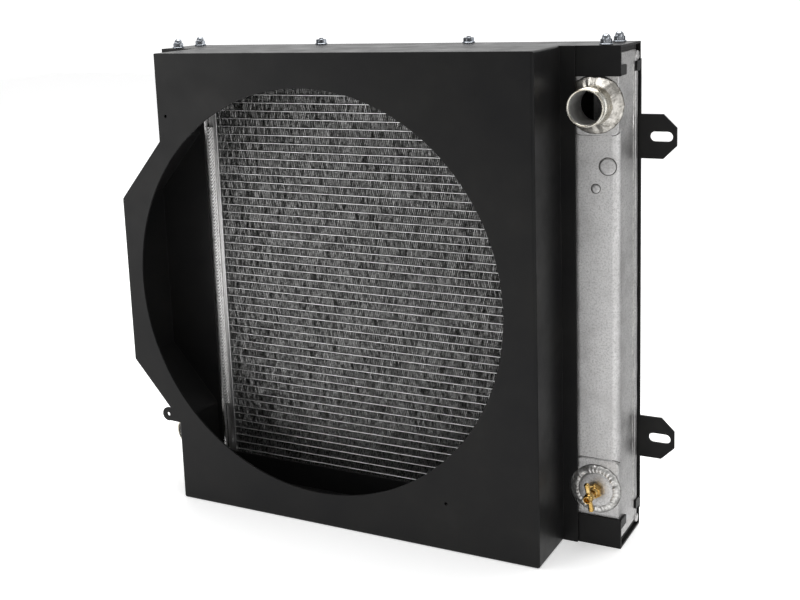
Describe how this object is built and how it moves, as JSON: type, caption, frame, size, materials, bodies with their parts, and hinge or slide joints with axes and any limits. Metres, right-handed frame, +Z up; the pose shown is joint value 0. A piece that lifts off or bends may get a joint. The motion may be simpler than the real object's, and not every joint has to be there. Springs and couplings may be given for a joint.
{
  "type": "hydraulic oil cooler",
  "caption": "Fan-cooled cross-flow aluminium cooler: tube-and-fin core between cast end tanks, steel channels with slotted ears, box shroud with round fan opening.",
  "frame": {"origin": "centre of the footprint on the plane that the shroud and the lower channel stand on", "axes": "+X to the right tank seen from the fan side, +Y from the fan side to the rear, +Z up"},
  "size_m": [0.676, 0.1644, 0.5745],
  "materials": {
    "black_powder_coat": "satin to semi-gloss black powder coat",
    "cast_aluminium": "as-cast, blasted, fine grained",
    "wrought_aluminium": "plain sheet and turned aluminium",
    "core_aluminium": "brazed tubes and fins",
    "weld_aluminium": "rippled weld metal",
    "neck_aluminium": "turned tube, lightly heat tinted",
    "brass": "machined brass",
    "zinc_plate": "bright zinc plate",
    "black_rubber": "matt",
    "seal_rubber": "matt"
  },
  "bodies": {
    "root": {"core_side_plate_lower": "wrought_aluminium", "core_side_plate_upper": "wrought_aluminium", "core_tubes_and_fins": "core_aluminium", "dome_nut_left_back": "zinc_plate", "dome_nut_left_front": "zinc_plate", "dome_nut_right_back": "zinc_plate", "dome_nut_right_front": "zinc_plate", "drain_boss": "wrought_aluminium", "drain_boss_weld": "weld_aluminium", "drain_cock_body": "brass", "fan_shroud": "black_powder_coat", "inlet_neck": "neck_aluminium", "inlet_neck_weld": "weld_aluminium", "left_header": "wrought_aluminium", "left_rail": "black_powder_coat", "left_tank": "cast_aluminium", "lower_channel": "black_powder_coat", "lower_isolator_left": "black_rubber", "lower_isolator_right": "black_rubber", "outlet_neck": "neck_aluminium", "outlet_neck_weld": "weld_aluminium", "rail_bolt_left_lower_inner": "zinc_plate", "rail_bolt_left_lower_outer": "zinc_plate", "rail_bolt_left_upper_inner": "zinc_plate", "rail_bolt_left_upper_outer": "zinc_plate", "rail_bolt_right_lower_inner": "zinc_plate", "rail_bolt_right_lower_outer": "zinc_plate", "rail_bolt_right_upper_inner": "zinc_plate", "rail_bolt_right_upper_outer": "zinc_plate", "right_header": "wrought_aluminium", "right_rail": "black_powder_coat", "right_tank": "cast_aluminium", "roof_bolt_left": "zinc_plate", "roof_bolt_right": "zinc_plate", "roof_nut_left": "zinc_plate", "roof_nut_right": "zinc_plate", "shroud_screw_left_lower": "zinc_plate", "shroud_screw_left_upper": "zinc_plate", "shroud_screw_right_lower": "zinc_plate", "shroud_screw_right_upper": "zinc_plate", "tank_stud_left_back": "zinc_plate", "tank_stud_left_front": "zinc_plate", "tank_stud_right_back": "zinc_plate", "tank_stud_right_front": "zinc_plate", "upper_channel": "black_powder_coat", "upper_isolator_left": "black_rubber", "upper_isolator_right": "black_rubber", "weld_bead_left_back": "weld_aluminium", "weld_bead_left_front": "weld_aluminium", "weld_bead_right_back": "weld_aluminium", "weld_bead_right_front": "weld_aluminium"},
    "drain_seal": {"drain_seal": "seal_rubber"},
    "drain_stem": {"drain_stem": "brass"}
  },
  "joints": [
    {"name": "drain_travel", "type": "slide", "parent": "root", "child": "drain_seal", "axis": [0, -1, 0], "range_m": [0, 0.0025]},
    {"name": "drain_turn", "type": "hinge", "parent": "drain_seal", "child": "drain_stem", "pos_m": [0.2695, -0.02225, 0.067], "axis": [0, -1, 0], "range_deg": [0, 720]}
  ],
  "couplings": [
    {"joint": "drain_turn", "follows": "drain_travel", "rad_per_m": 5026.5}
  ]
}
